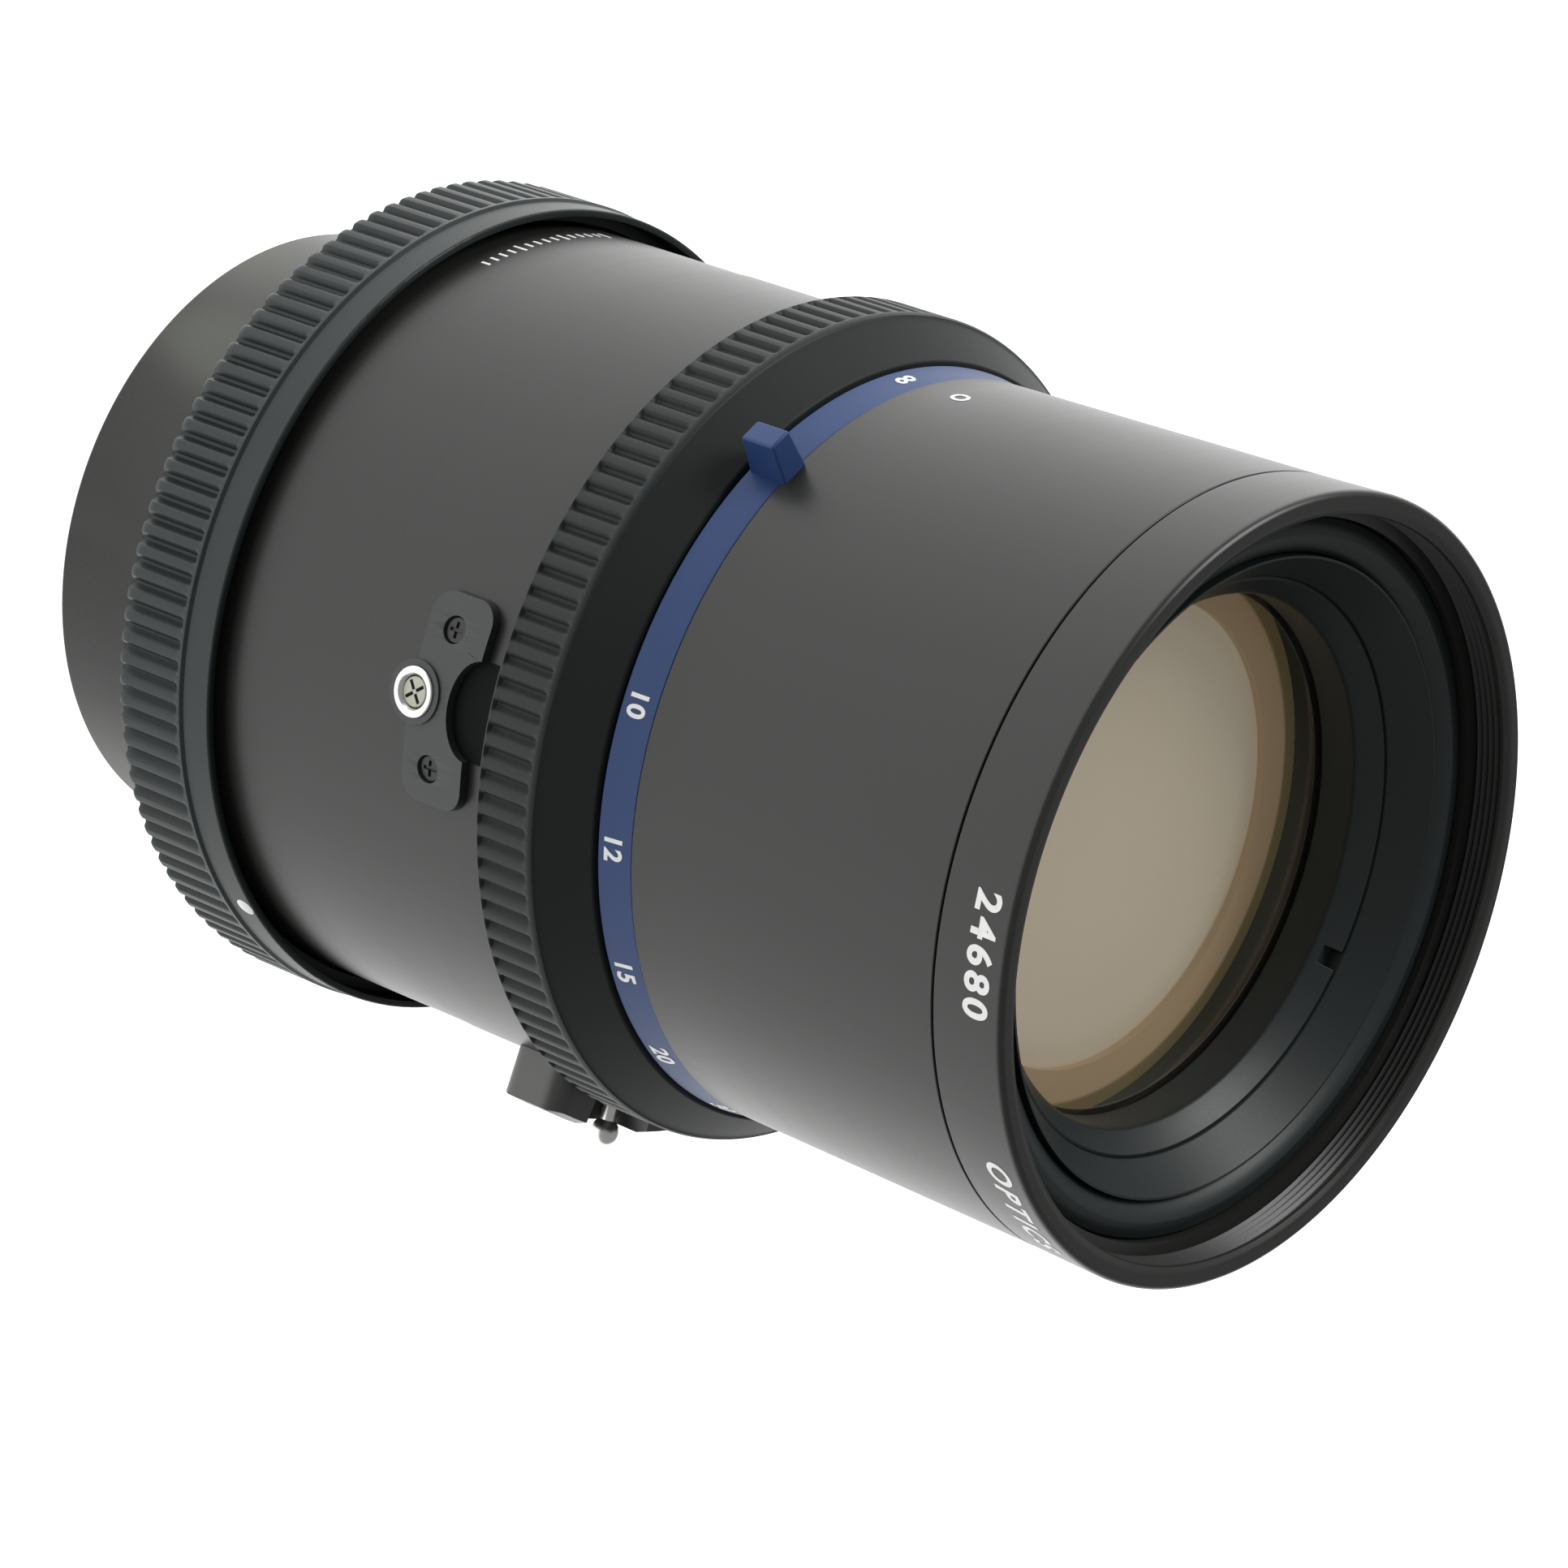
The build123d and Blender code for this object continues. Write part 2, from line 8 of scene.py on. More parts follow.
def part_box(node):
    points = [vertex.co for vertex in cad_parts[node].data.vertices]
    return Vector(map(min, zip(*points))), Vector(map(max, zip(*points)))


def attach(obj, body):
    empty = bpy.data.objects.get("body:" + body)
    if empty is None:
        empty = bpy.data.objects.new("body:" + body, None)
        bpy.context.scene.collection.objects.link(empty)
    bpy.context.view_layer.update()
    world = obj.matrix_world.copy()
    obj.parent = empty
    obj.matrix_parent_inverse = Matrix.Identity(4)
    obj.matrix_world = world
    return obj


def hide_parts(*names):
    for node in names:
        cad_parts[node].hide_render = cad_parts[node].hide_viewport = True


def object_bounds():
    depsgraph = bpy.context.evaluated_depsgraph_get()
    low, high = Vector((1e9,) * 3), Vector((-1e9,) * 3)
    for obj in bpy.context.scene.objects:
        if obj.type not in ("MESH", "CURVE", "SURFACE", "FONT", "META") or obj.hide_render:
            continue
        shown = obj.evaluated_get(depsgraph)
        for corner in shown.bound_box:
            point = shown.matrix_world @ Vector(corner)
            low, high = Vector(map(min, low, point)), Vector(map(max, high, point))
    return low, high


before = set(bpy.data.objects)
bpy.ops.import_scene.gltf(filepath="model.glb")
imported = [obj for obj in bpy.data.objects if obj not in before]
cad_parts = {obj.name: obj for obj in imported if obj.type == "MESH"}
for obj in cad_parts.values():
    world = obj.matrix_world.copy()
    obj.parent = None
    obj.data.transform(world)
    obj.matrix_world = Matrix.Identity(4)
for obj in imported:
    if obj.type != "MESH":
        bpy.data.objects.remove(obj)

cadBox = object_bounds()
mm = 0.001


# Shader helpers

class Wire:
    # a socket that takes part in plain Python sums
    def __init__(self, finish, socket):
        self.finish = finish
        self.socket = socket

    def maths(self, operation, first, second):
        return self.finish.node("Math", {"operation": operation}, {0: first, 1: second})

    def __add__(self, other):
        return self.maths("ADD", self, other)

    __radd__ = __add__

    def __mul__(self, other):
        return self.maths("MULTIPLY", self, other)

    __rmul__ = __mul__

    def __sub__(self, other):
        return self.maths("SUBTRACT", self, other)

    def __rsub__(self, other):
        return self.maths("SUBTRACT", other, self)

    def __truediv__(self, other):
        return self.maths("DIVIDE", self, other)

    def __pow__(self, other):
        return self.maths("POWER", self, other)

    def step(self, start, end):
        # 0 below start, 1 above end, smooth between; the ends may be the other way round
        settings = {"interpolation_type": "SMOOTHSTEP"}
        if start <= end:
            inputs = {"Value": self, "From Min": start, "From Max": end}
            return self.finish.node("MapRange", settings, inputs)
        return 1 - self.step(end, start)


class Finish:
    # one material, built round its Principled shader
    def __init__(self, name, colour, roughness, **fixed):
        self.material = bpy.data.materials.new(name)
        self.material.use_nodes = True
        self.tree = self.material.node_tree
        self.shader = self.tree.nodes["Principled BSDF"]
        self.feed("Base Color", (*colour, 1))
        self.feed("Roughness", roughness)
        for socketName, value in fixed.items():
            self.feed(socketName.replace("_", " "), value)

    def node(self, kind, settings=None, inputs=None, output=0):
        made = self.tree.nodes.new("ShaderNode" + kind)
        for name, value in (settings or {}).items():
            setattr(made, name, value)
        for name, value in (inputs or {}).items():
            self.join(made.inputs[name], value)
        return Wire(self, made.outputs[output])

    def join(self, socket, value):
        if isinstance(value, Wire):
            self.tree.links.new(value.socket, socket)
        else:
            socket.default_value = value

    def feed(self, name, value):
        self.join(self.shader.inputs[name], value)

    def place(self, stretch=(1, 1, 1)):
        spot = self.node("TexCoord", output="Object")
        return self.node("Mapping", None, {"Vector": spot, "Scale": stretch})

    def noise(self, scale, detail=2.0, stretch=(1, 1, 1)):
        inputs = {"Vector": self.place(stretch), "Scale": scale, "Detail": detail}
        return self.node("TexNoise", None, inputs, "Fac")

    def axes(self):
        # distance from the optical axis and height along it, in millimetres
        spot = self.node("TexCoord", output="Object")
        x = self.node("SeparateXYZ", None, {0: spot}, "X")
        y = self.node("SeparateXYZ", None, {0: spot}, "Y")
        z = self.node("SeparateXYZ", None, {0: spot}, "Z")
        return (x * x + y * y) ** 0.5 / mm, z / mm

    def mix(self, share, first, second):
        colours = [(*c, 1) if isinstance(c, tuple) else c for c in (first, second)]
        return self.node("Mix", {"data_type": "RGBA"}, {0: share, 6: colours[0], 7: colours[1]}, 2)

    def bump(self, height, strength, depth):
        inputs = {"Height": height, "Strength": strength, "Distance": depth * mm}
        self.feed("Normal", self.node("Bump", None, inputs))


def shade(colour, share):
    return tuple(c * share for c in colour)


# Finishes

def turnedFinish(name, colour, roughness, grain=0.25, **fixed):
    # machined and coated metal: fine rings left by the lathe, faint clouds, a soft grain
    finish = Finish(name, colour, roughness, **fixed)
    rings = finish.noise(900, 2, (0.02, 0.02, 3.0))
    clouds = finish.noise(45, 3)
    dust = finish.noise(5200, 2)
    share = clouds * 0.6 + dust * 0.4
    finish.feed("Base Color", finish.mix(share, shade(colour, 0.82), shade(colour, 1.2)))
    finish.feed("Roughness", clouds * 0.09 + rings * 0.05 + (roughness - 0.07))
    finish.bump(dust * 0.6 + rings * 0.4, grain, 0.02)
    return finish


def ribbedFinish(name, colour, roughness, tipRadius, depth, **fixed):
    # worn a little smoother on the tips of the ribs; painted shade darkens the grooves between them and a
    # painted highlight lightens the tips
    finish = Finish(name, colour, roughness, **fixed)
    radius = finish.axes()[0]
    tips = radius.step(tipRadius - depth, tipRadius - depth * 0.15)
    grain = finish.noise(4200, 3)
    clouds = finish.noise(60, 2)
    # painted shade in the grooves and a painted highlight on the rib tips
    base = finish.mix(tips, shade(colour, 0.6), shade(colour, 1.1))
    finish.feed("Base Color", finish.mix(clouds * 0.5, base, shade(colour, 0.7)))
    finish.feed("Roughness", tips * -0.08 + grain * 0.1 + roughness)
    finish.bump(grain, 0.35, 0.03)
    return finish


def tubeFinish(name, colour, roughness, **fixed):
    # glossy lacquer with soft dull patches where hands and caps have rubbed it; the same patches are
    # painted far lighter in the base colour, a painted reflection
    finish = Finish(name, colour, roughness, **fixed)
    dullAndReflectionPatches = finish.noise(44, 1, (1, 1, 0.6)).step(0.36, 0.6)
    specks = finish.noise(2600, 2)
    # painted reflection: the patches are drawn nine times lighter than the lacquer
    finish.feed("Base Color", finish.mix(dullAndReflectionPatches, colour, shade(colour, 9.0)))
    finish.feed("Roughness", dullAndReflectionPatches * 0.14 + specks * 0.04 + roughness)
    finish.bump(specks, 0.08, 0.02)
    return finish


def mattFinish(name, colour, roughness, **fixed):
    # flocked or anti-reflection black with visible grain
    finish = Finish(name, colour, roughness, **fixed)
    grain = finish.noise(6500, 3)
    clouds = finish.noise(70, 2)
    share = grain * 0.5 + clouds * 0.5
    finish.feed("Base Color", finish.mix(share, shade(colour, 0.7), shade(colour, 1.35)))
    finish.feed("Roughness", grain * 0.12 + (roughness - 0.06))
    finish.bump(grain, 0.3, 0.02)
    return finish


def metalFinish(name, colour, roughness, **fixed):
    # bare or plated metal with fine scratches
    finish = Finish(name, colour, roughness, Metallic=1.0, **fixed)
    scratches = finish.noise(3000, 2, (0.15, 1, 1.6))
    tarnish = finish.noise(160, 3)
    finish.feed("Base Color", finish.mix(tarnish, shade(colour, 0.85), shade(colour, 1.05)))
    finish.feed("Roughness", scratches * 0.12 + tarnish * 0.08 + (roughness - 0.08))
    finish.bump(scratches, 0.08, 0.01)
    return finish


def paintFinish(name, colour, roughness, **fixed):
    # paint filled into engraving, thick and a little uneven
    finish = Finish(name, colour, roughness, **fixed)
    lumps = finish.noise(1800, 2)
    finish.feed("Base Color", finish.mix(lumps, shade(colour, 0.86), colour))
    finish.feed("Roughness", lumps * 0.1 + roughness)
    finish.bump(lumps, 0.15, 0.02)
    return finish


glassEdge = {"start": 26.9, "end": 27.3, "low": 99, "high": 100, "beyond": (99, 100)}


def glassFinish(name, colour, clear, rimColour, rimStart, rimEnd, **fixed):
    # coated glass: nearly clear inside, tinted and dense at its ground edge, which only the front glass has
    finish = Finish(name, colour, 0.03, IOR=1.6, **fixed)
    radius, height = finish.axes()
    rim = radius.step(rimStart, rimEnd) * height.step(glassEdge["low"], glassEdge["high"])
    bloom = finish.noise(60, 2)
    finish.feed("Base Color", finish.mix(rim, colour, rimColour))
    finish.feed("Alpha", rim * (0.85 - clear) + clear)
    finish.feed("Roughness", bloom * 0.03 + rim * 0.3 + 0.02)
    return finish


def paintedGlowFinish(name, colour, edgeColour, radius0, radius1, roughness, glow, **fixed):
    # painted light: a warm coated surface that glows with a constant emission in its own colours, in place
    # of the light from behind the glasses
    finish = Finish(name, colour, roughness, Emission_Strength=glow, **fixed)
    radius = finish.axes()[0]
    haze = finish.noise(26, 2, (1, 1, 0.2))
    tone = finish.mix(haze, shade(colour, 0.93), shade(colour, 1.06))
    colours = finish.mix(radius.step(radius0, radius1), tone, edgeColour)
    finish.feed("Base Color", colours)
    # the glow is painted light, not a lamp
    finish.feed("Emission Color", colours)
    finish.feed("Roughness", haze * 0.08 + roughness)
    return finish


print("finishes")
finishes = {
    "satin": turnedFinish("satinBlack", (0.021, 0.0225, 0.02), 0.34, Specular_IOR_Level=0.4),
    "frontSatin": turnedFinish("frontSatinBlack", (0.02, 0.0212, 0.019), 0.34, Specular_IOR_Level=0.4),
    "pad": turnedFinish("padBlack", (0.026, 0.03, 0.029), 0.46),
    "leverPad": turnedFinish("leverPadGrey", (0.085, 0.085, 0.083), 0.34, Metallic=0.35),
    "bayonet": ribbedFinish("ribbedBlack", (0.02, 0.027, 0.027), 0.4, 44.9, 0.75, Specular_IOR_Level=0.28),
    "grip": ribbedFinish("gripBlack", (0.019, 0.023, 0.023), 0.5, 44.5, 0.65, Specular_IOR_Level=0.22),
    "tube": tubeFinish("tubeLacquer", (0.007, 0.0075, 0.006), 0.26, Specular_IOR_Level=0.4),
    "matt": mattFinish("mattBlack", (0.009, 0.01, 0.01), 0.6, Specular_IOR_Level=0.25),
    "funnel": mattFinish("funnelBlack", (0.013, 0.018, 0.0185), 0.42, Specular_IOR_Level=0.4),
    "blue": turnedFinish("blueEnamel", (0.02, 0.05, 0.155), 0.42, Specular_IOR_Level=0.28),
    # near-black for painted shade: the sheet by the release socket and the cross in the plunger head
    "paintedShade": mattFinish("paintedShadeBlack", (0.003, 0.004, 0.004), 0.7, Specular_IOR_Level=0.1),
    "plunger": metalFinish("plungerSteel", (0.34, 0.34, 0.29), 0.4),
    "chrome": metalFinish("satinChrome", (0.78, 0.78, 0.75), 0.28),
    "brass": metalFinish("turnedBrass", (0.6, 0.44, 0.2), 0.35),
    "bladeSteel": metalFinish("bladeSteel", (0.09, 0.09, 0.095), 0.4),
    "blackSteel": metalFinish("blackenedSteel", (0.05, 0.05, 0.052), 0.36),
    "white": paintFinish("whitePaint", (0.86, 0.87, 0.86), 0.5),
    "lime": paintFinish("paleLimePaint", (0.66, 0.7, 0.3), 0.5),
    "front": glassFinish("frontGlass", (0.5, 0.46, 0.36), 0.05, (0.016, 0.014, 0.014), glassEdge["start"],
                         glassEdge["end"]),
    "rear": glassFinish("rearGlass", (0.3, 0.36, 0.3), 0.22, (0.03, 0.03, 0.03), *glassEdge["beyond"]),
    # painted light: the second glass and the spacer ring glow, in place of light coming through the glasses
    "veil": paintedGlowFinish("warmVeil", (0.3, 0.262, 0.2), (0.27, 0.23, 0.17), 21, 24.6, 0.5, 0.62,
                         Specular_IOR_Level=0.1),
    "tan": paintedGlowFinish("tanRing", (0.23, 0.165, 0.095), (0.085, 0.062, 0.025), 28.0, 28.6, 0.5, 0.45,
                        Specular_IOR_Level=0.1),
}


# Modelling helpers. Every mesh is in place as it is made, in metres.

def newPiece(name, shell, finish, body, nodes=(), smoothAngle=40):
    mesh = bpy.data.meshes.new(name)
    shell.to_mesh(mesh)
    shell.free()
    piece = bpy.data.objects.new(name, mesh)
    bpy.context.scene.collection.objects.link(piece)
    mesh.materials.append(finishes[finish].material)
    mesh.shade_smooth()
    mesh.set_sharp_from_angle(angle=math.radians(smoothAngle))
    even = piece.modifiers.new("evenShading", "WEIGHTED_NORMAL")
    even.keep_sharp = True
    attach(piece, body)
    if nodes:
        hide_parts(*nodes)
    return piece


def drawOutline(shell, outline, closed=True):
    # outline points are (radius, height) or (radius, height, corner radius)
    corners = [shell.verts.new((p[0] * mm, 0, p[1] * mm)) for p in outline]
    for i in range(0 if closed else 1, len(corners)):
        shell.edges.new((corners[i - 1], corners[i]))
    for corner, point in zip(corners, outline):
        if len(point) == 3:
            bmesh.ops.bevel(shell, geom=[corner], offset=point[2] * mm, offset_type="OFFSET", segments=3,
                            profile=0.5, affect="VERTICES", material=-1)


def turn(outline, steps=180, closed=True):
    shell = bmesh.new()
    drawOutline(shell, outline, closed)
    bmesh.ops.spin(shell, geom=shell.verts[:] + shell.edges[:], cent=(0, 0, 0), axis=(0, 0, 1),
                   angle=2 * math.pi, steps=steps, use_merge=True)
    bmesh.ops.remove_doubles(shell, verts=shell.verts, dist=mm / 2000)
    bmesh.ops.recalc_face_normals(shell, faces=shell.faces)
    return shell


def wrap(verts, azimuth, height, radius):
    # bends flat work round the barrel: X runs round it, Y along it and Z outwards
    for vert in verts:
        angle = math.radians(azimuth) + vert.co.x / (radius * mm)
        reach = radius * mm + vert.co.z
        vert.co = (reach * math.cos(angle), reach * math.sin(angle), height * mm + vert.co.y)


def radialMatrix(azimuth, height, radius):
    # local Z points outwards at this azimuth, local Y along the barrel
    a = math.radians(azimuth)
    out = Vector((math.cos(a), math.sin(a), 0))
    across = Vector((-math.sin(a), math.cos(a), 0))
    turned = Matrix((across, (0, 0, 1), out)).transposed().to_4x4()
    return Matrix.Translation(out * radius * mm + Vector((0, 0, height * mm))) @ turned


def block(width, length, depth, cuts=0):
    # a box on the XY plane, cut across its width so that it can bend
    box = bmesh.new()
    bmesh.ops.create_cube(box, size=1)
    bmesh.ops.scale(box, vec=(width * mm, length * mm, depth * mm), verts=box.verts)
    bmesh.ops.translate(box, vec=(0, 0, depth * mm / 2), verts=box.verts)
    if cuts:
        along = [e for e in box.edges if abs(e.verts[0].co.x - e.verts[1].co.x) > mm / 100]
        bmesh.ops.subdivide_edges(box, edges=along, cuts=cuts, use_grid_fill=True)
    return box


def joinTo(shell, part):
    # adds a finished part's mesh to another
    mesh = bpy.data.meshes.new("part")
    part.to_mesh(mesh)
    part.free()
    shell.from_mesh(mesh)
    bpy.data.meshes.remove(mesh)


def cutRibs(shell, count, tip, depth, rows):
    # eight columns to a pitch, a crowned land and then a round groove: (place in the pitch, share of depth)
    columns = ((0.0, 0.22), (0.08, 0.04), (0.28, 0.0), (0.44, 0.08),
               (0.54, 0.4), (0.64, 0.9), (0.78, 1.0), (0.91, 0.7))
    pitch = 2 * math.pi / count
    for vert in shell.verts:
        radius = math.hypot(vert.co.x, vert.co.y) / mm
        share = next((cut for z, cut in rows if abs(vert.co.z / mm - z) < 0.02), 0.0)
        if radius < tip - depth or radius > tip + 0.01:
            continue
        index = round((math.atan2(vert.co.y, vert.co.x) % (2 * math.pi)) / pitch * len(columns))
        rib, column = divmod(index, len(columns))
        angle = (rib + columns[column][0]) * pitch
        reach = (radius - depth * columns[column][1] * share) * mm
        vert.co.x = reach * math.cos(angle)
        vert.co.y = reach * math.sin(angle)


def refined(name, node, bevel, finish, body):
    # a merged copy of a CAD node with its edges broken
    shell = bmesh.new()
    shell.from_mesh(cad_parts[node].data)
    bmesh.ops.remove_doubles(shell, verts=shell.verts, dist=mm / 500)
    bmesh.ops.dissolve_limit(shell, angle_limit=math.radians(0.3), verts=shell.verts, edges=shell.edges)
    piece = newPiece(name, shell, finish, body, (node,))
    edges = piece.modifiers.new("brokenEdges", "BEVEL")
    edges.width = bevel * mm
    edges.segments = 2
    edges.limit_method = "ANGLE"
    edges.angle_limit = math.radians(40)
    edges.use_clamp_overlap = True
    piece.modifiers.move(1, 0)
    return piece


def lettering(name, text, size, azimuth, height, radius, finish, body, spacing=1.0, slope=0.0, slant=0.0,
              weight=0.03, raised=0.05):
    # text made a mesh, sized by its real height, then bent round the barrel; slope is the barrel's taper
    curve = bpy.data.curves.new(name + "Curve", "FONT")
    curve.body = text
    curve.space_character = spacing
    curve.extrude = 0.01
    curve.offset = weight
    source = bpy.data.objects.new(name + "Curve", curve)
    bpy.context.scene.collection.objects.link(source)
    mesh = bpy.data.meshes.new_from_object(source.evaluated_get(bpy.context.evaluated_depsgraph_get()))
    bpy.data.objects.remove(source)
    shell = bmesh.new()
    shell.from_mesh(mesh)
    bpy.data.meshes.remove(mesh)
    spread = [(min(v.co[i] for v in shell.verts), max(v.co[i] for v in shell.verts)) for i in range(3)]
    middle = [(low + high) / 2 for low, high in spread]
    bmesh.ops.translate(shell, vec=[-m for m in middle], verts=shell.verts)
    flat = size * mm / (spread[1][1] - spread[1][0])
    thick = raised * mm / (spread[2][1] - spread[2][0])
    bmesh.ops.scale(shell, vec=(flat, flat, thick), verts=shell.verts)
    bmesh.ops.remove_doubles(shell, verts=shell.verts, dist=mm / 2000)
    for vert in shell.verts:
        vert.co.x += slant * vert.co.y
        vert.co.z += slope * vert.co.y
    wrap(shell.verts, azimuth, height, radius + raised * 0.35)
    return newPiece(name, shell, finish, body)


def bulge(radius, edge, height, steps=14):
    # points of a lens face from its edge to the middle, on one sphere
    sphere = (radius ** 2 + height ** 2) / (2 * height)
    points = []
    for i in range(steps + 1):
        r = radius * (1 - i / steps)
        drop = math.sqrt(sphere ** 2 - r ** 2) - math.sqrt(sphere ** 2 - radius ** 2)
        points.append((r, edge + math.copysign(drop, height)))
    return points


def span(node):
    # a node's outer radius and its two ends, in millimetres
    low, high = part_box(node)
    return max(high.x, -low.x) / mm, low.z / mm, high.z / mm


print("rear barrel")
rear = {"tube": 34.0, "wall": 2.5, "step": -6.0, "stepDepth": 0.45, "seat": 3.0,
        "threads": 10, "threadStart": 1.6, "pitch": 1.5, "threadDepth": 0.6}


def makeRearBarrel():
    radius, z0, z1 = span("rear_barrel")
    tube, step, seat = rear["tube"], rear["step"], rear["seat"]
    bore = tube - rear["wall"]
    neck = tube - rear["stepDepth"]
    outline = [(bore, z0, 0.25), (tube, z0, 0.45), (tube, step, 0.15), (neck, step + 0.2), (neck, seat),
               (radius, seat), (radius, z1), (bore, z1)]
    for i in reversed(range(rear["threads"])):
        z = z0 + rear["threadStart"] + i * rear["pitch"]
        outline += [(bore, z + 0.45), (bore + rear["threadDepth"], z), (bore, z - 0.45)]
    newPiece("rearBarrel", turn(outline), "tube", "barrel", ("rear_barrel",))


makeRearBarrel()

print("bayonet ring")
bayonet = {"ribs": 120, "tip": 44.9, "depth": 0.75, "band": 44.6, "ribEnd": 9.8, "lugs": (20, 140, 260),
           "lugWidth": 24.6, "lugLength": 1.8, "lugDepth": 2.3, "lugRadius": 40.3, "bore": 42.4,
           "mouth": 43.75, "mouthDepth": 3.2, "inside": 42.65, "collar": 41.05, "collarStart": 4.8,
           "collarEnd": 7.2, "dot": 1.1, "dotEdge": 0.62, "dotDome": 0.22, "dotSeat": 44.0}


def makeBayonetRing():
    tip, band, end = bayonet["tip"], bayonet["band"], bayonet["ribEnd"]
    z0, z1 = span("bayonet_ring")[1:]
    rows = [(z0 + 0.6, 1.0), (z0 + 1.1, 1.0), (end - 1.1, 1.0), (end - 0.75, 0.75), (end - 0.5, 0.0)]
    bore, mouth, inside, collar = (bayonet[key] for key in ("bore", "mouth", "inside", "collar"))
    step, low, high = z1 - bayonet["mouthDepth"], bayonet["collarStart"], bayonet["collarEnd"]
    outline = [(bore, z0, 0.2), (tip - 0.75, z0), (tip - 0.2, z0 + 0.12)] + [(tip, z) for z, cut in rows]
    outline += [(tip, end - 0.1), (band, end + 0.25), (band, z1, 0.3), (mouth, z1, 0.12), (mouth, step),
                (inside, step), (inside, high), (collar, high), (collar, low), (bore, low)]
    shell = turn(outline, bayonet["ribs"] * 8)
    cutRibs(shell, bayonet["ribs"], tip, bayonet["depth"], rows + [(z0 + 0.12, 0.8)])
    for azimuth in bayonet["lugs"]:
        lug = block(bayonet["lugWidth"], bayonet["lugLength"], bayonet["lugDepth"], 12)
        wrap(lug.verts, azimuth, z0 + bayonet["lugLength"] / 2, bayonet["lugRadius"])
        joinTo(shell, lug)
    newPiece("bayonetRing", shell, "bayonet", "bayonet", ("bayonet_ring",), 30)


makeBayonetRing()


def makeDot():
    # a domed drop of white paint
    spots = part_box("bayonet_dot")
    middle = (spots[0] + spots[1]) / 2
    azimuth = math.degrees(math.atan2(middle.y, middle.x))
    radius = bayonet["dot"]
    dome = bulge(radius, bayonet["dotEdge"], bayonet["dotDome"], 6)
    shell = turn([(radius, 0)] + dome + [(0, 0)], 32, False)
    place = radialMatrix(azimuth, middle.z / mm, bayonet["dotSeat"])
    bmesh.ops.transform(shell, matrix=place, verts=shell.verts)
    newPiece("bayonetDot", shell, "white", "bayonet", ("bayonet_dot",))


makeDot()

print("housings")
housing = {"neck": 40.8, "neckEnd": 7.4, "radius": 42.3, "shutterRadius": 42.4, "sleeve": 38.6,
           "seamWidth": 0.16, "seamDepth": 0.5, "bore": 40.2, "boreStart": 36.0, "waist": 38.4,
           "waistStart": 28.0, "neckBore": 39.3, "neckBoreEnd": 26.0}


def makeRearShell():
    radius, z0, z1 = span("rear_housing")
    neck, neckEnd, neckBore = housing["neck"], housing["neckEnd"], housing["neckBore"]
    bore, step, waist = housing["bore"], housing["boreStart"], housing["waist"]
    seam, groove = z1 - housing["seamWidth"], radius - housing["seamDepth"]
    outline = [(neckBore, z0), (neck, z0, 0.15), (neck, neckEnd), (radius, neckEnd, 0.2),
               (radius, seam, 0.1), (groove, seam), (groove, z1), (bore, z1), (bore, step), (waist, step),
               (waist, housing["waistStart"]), (neckBore, housing["neckBoreEnd"])]
    newPiece("rearShell", turn(outline), "satin", "barrel", ("rear_housing",))


makeRearShell()
refined("shutterShell", "shutter_housing", 0.12, "satin", "barrel")

print("aperture grip")
grip = {"ribs": 117, "tip": 44.5, "depth": 0.62, "shoulder": 59.9, "cone": 40.75, "coneEnd": 64.8}


def makeGrip():
    tip, shoulder, end = grip["tip"], grip["shoulder"], grip["coneEnd"]
    z0 = span("aperture_ring")[1]
    bore = housing["sleeve"] + 0.1
    rows = [(z0 + 0.35, 0.0), (z0 + 0.6, 0.75), (z0 + 1.0, 1.0), (shoulder - 1.45, 1.0),
            (shoulder - 1.0, 0.75), (shoulder - 0.75, 0.0)]
    outline = [(bore, z0), (tip - 0.45, z0), (tip - 0.1, z0 + 0.12)] + [(tip, z) for z, cut in rows]
    outline += [(tip, shoulder - 0.35), (tip - 0.2, shoulder), (tip - 0.5, shoulder + 0.15),
                (grip["cone"], end - 0.1, 0.1), (grip["cone"] - 0.25, end), (bore, end)]
    shell = turn(outline, grip["ribs"] * 8)
    cutRibs(shell, grip["ribs"], tip, grip["depth"], rows)
    newPiece("apertureGrip", shell, "grip", "aperture", ("aperture_ring",), 30)


makeGrip()

print("distance ring")
scale = {"rear": 40.3, "front": 39.7, "start": 65.1, "end": 69.1, "lip": 39.4, "lipDepth": 0.6,
         "tabWidth": 3.4, "tabLength": 4.9, "tabHeight": 5.4, "tabAzimuth": -123.8, "tabMiddle": 67.6,
         "tabFoot": 39.2, "tabTaper": 0.36, "tabRounding": 0.28,
         "numberSize": 2.15, "numberMiddle": 66.95, "numberRadius": 40.03, "infinityShare": 0.6,
         "numbers": {"10": -83.3, "12": -62.0, "15": -41.6, "20": -23.8, "30": -5.0, "50": 12.0,
                     "\u221e": -153.0, "8": 158.0, "7": 138.0, "6": 116.0, "5": 92.0}}


def makeScaleRing():
    z0, z1, lip = scale["start"], scale["end"], scale["lip"]
    bore = housing["sleeve"] + 0.15
    outline = [(bore, z0), (scale["rear"], z0, 0.15), (scale["front"], z1, 0.1), (lip, z1),
               (lip, z1 - scale["lipDepth"]), (bore, z1 - scale["lipDepth"])]
    newPiece("scaleRing", turn(outline), "blue", "distance", ("distance_ring",))


